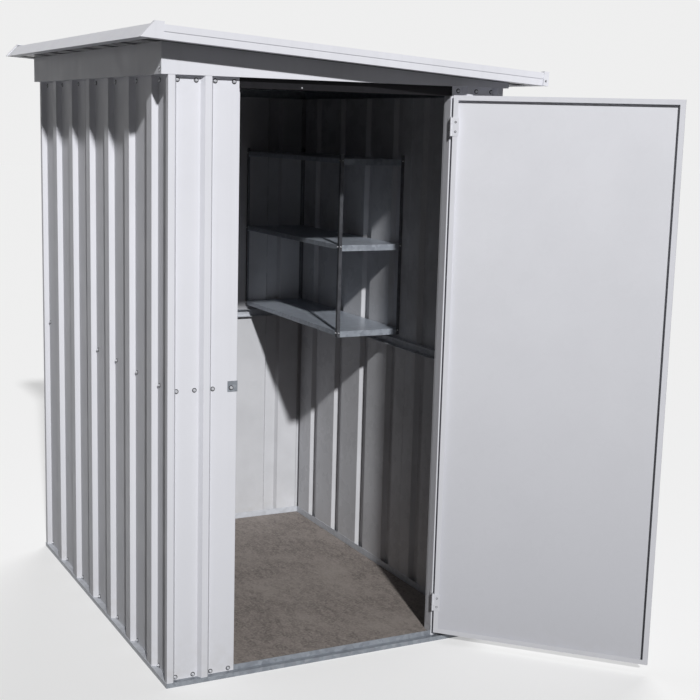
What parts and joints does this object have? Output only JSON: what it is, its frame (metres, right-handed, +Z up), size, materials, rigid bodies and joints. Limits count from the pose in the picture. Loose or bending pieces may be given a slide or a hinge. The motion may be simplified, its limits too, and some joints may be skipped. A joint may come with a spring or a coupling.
{
  "type": "metal tool shed",
  "caption": "Narrow metal tool shed with ribbed sheet walls, a single sloping roof, a board floor, inner shelves and one outward side-hung door.",
  "frame": {"origin": "centre of the wall footprint at ground level, on the underside of the floor board", "axes": "+Z up, -Y out of the doorway, -X towards the high side of the roof"},
  "size_m": [1.5048, 2.0066, 1.9146],
  "materials": {
    "white_sheet": "semi-gloss",
    "galvanised_steel": "spangled zinc",
    "floor_board": "bare pressed board",
    "handle_steel": "plain"
  },
  "bodies": {
    "shed": {"base_rail_left": "galvanised_steel", "base_rail_right": "galvanised_steel", "base_rail_back": "galvanised_steel", "threshold_rail": "galvanised_steel", "floor_board": "floor_board", "left_wall_front_sheet": "white_sheet", "left_wall_rear_sheet": "white_sheet", "right_wall_front_sheet": "white_sheet", "right_wall_rear_sheet": "white_sheet", "back_wall_left_sheet": "white_sheet", "back_wall_right_sheet": "white_sheet", "front_panel_left": "white_sheet", "front_panel_right": "white_sheet", "top_rail_left": "galvanised_steel", "top_rail_right": "galvanised_steel", "top_rail_back": "galvanised_steel", "door_header": "galvanised_steel", "mid_rail_left": "galvanised_steel", "mid_rail_right": "galvanised_steel", "mid_rail_back": "galvanised_steel", "front_mid_rails": "galvanised_steel", "left_door_post": "galvanised_steel", "right_door_post": "galvanised_steel", "fascia_left": "white_sheet", "fascia_right": "white_sheet", "fascia_front": "white_sheet", "fascia_back": "white_sheet", "roof_sheet_front": "white_sheet", "roof_sheet_rear": "white_sheet", "roof_trim_left": "white_sheet", "roof_trim_right": "white_sheet", "roof_trim_front": "white_sheet", "roof_trim_back": "white_sheet", "roof_corner_caps": "white_sheet", "roof_beam": "galvanised_steel", "post_hinge_leaves": "galvanised_steel", "hinge_pins": "galvanised_steel", "striker_clip": "galvanised_steel", "shelf_low": "galvanised_steel", "shelf_middle": "galvanised_steel", "shelf_high": "galvanised_steel", "shelf_posts": "galvanised_steel"},
    "door": {"door_panel": "white_sheet", "door_hinge_leaves": "galvanised_steel", "door_handle": "handle_steel"}
  },
  "joints": [
    {"name": "door_hinge", "type": "hinge", "parent": "shed", "child": "door", "pos_m": [0.3642, -0.711, 0.9], "axis": [0, 0, 1], "range_deg": [-134, 16]}
  ]
}
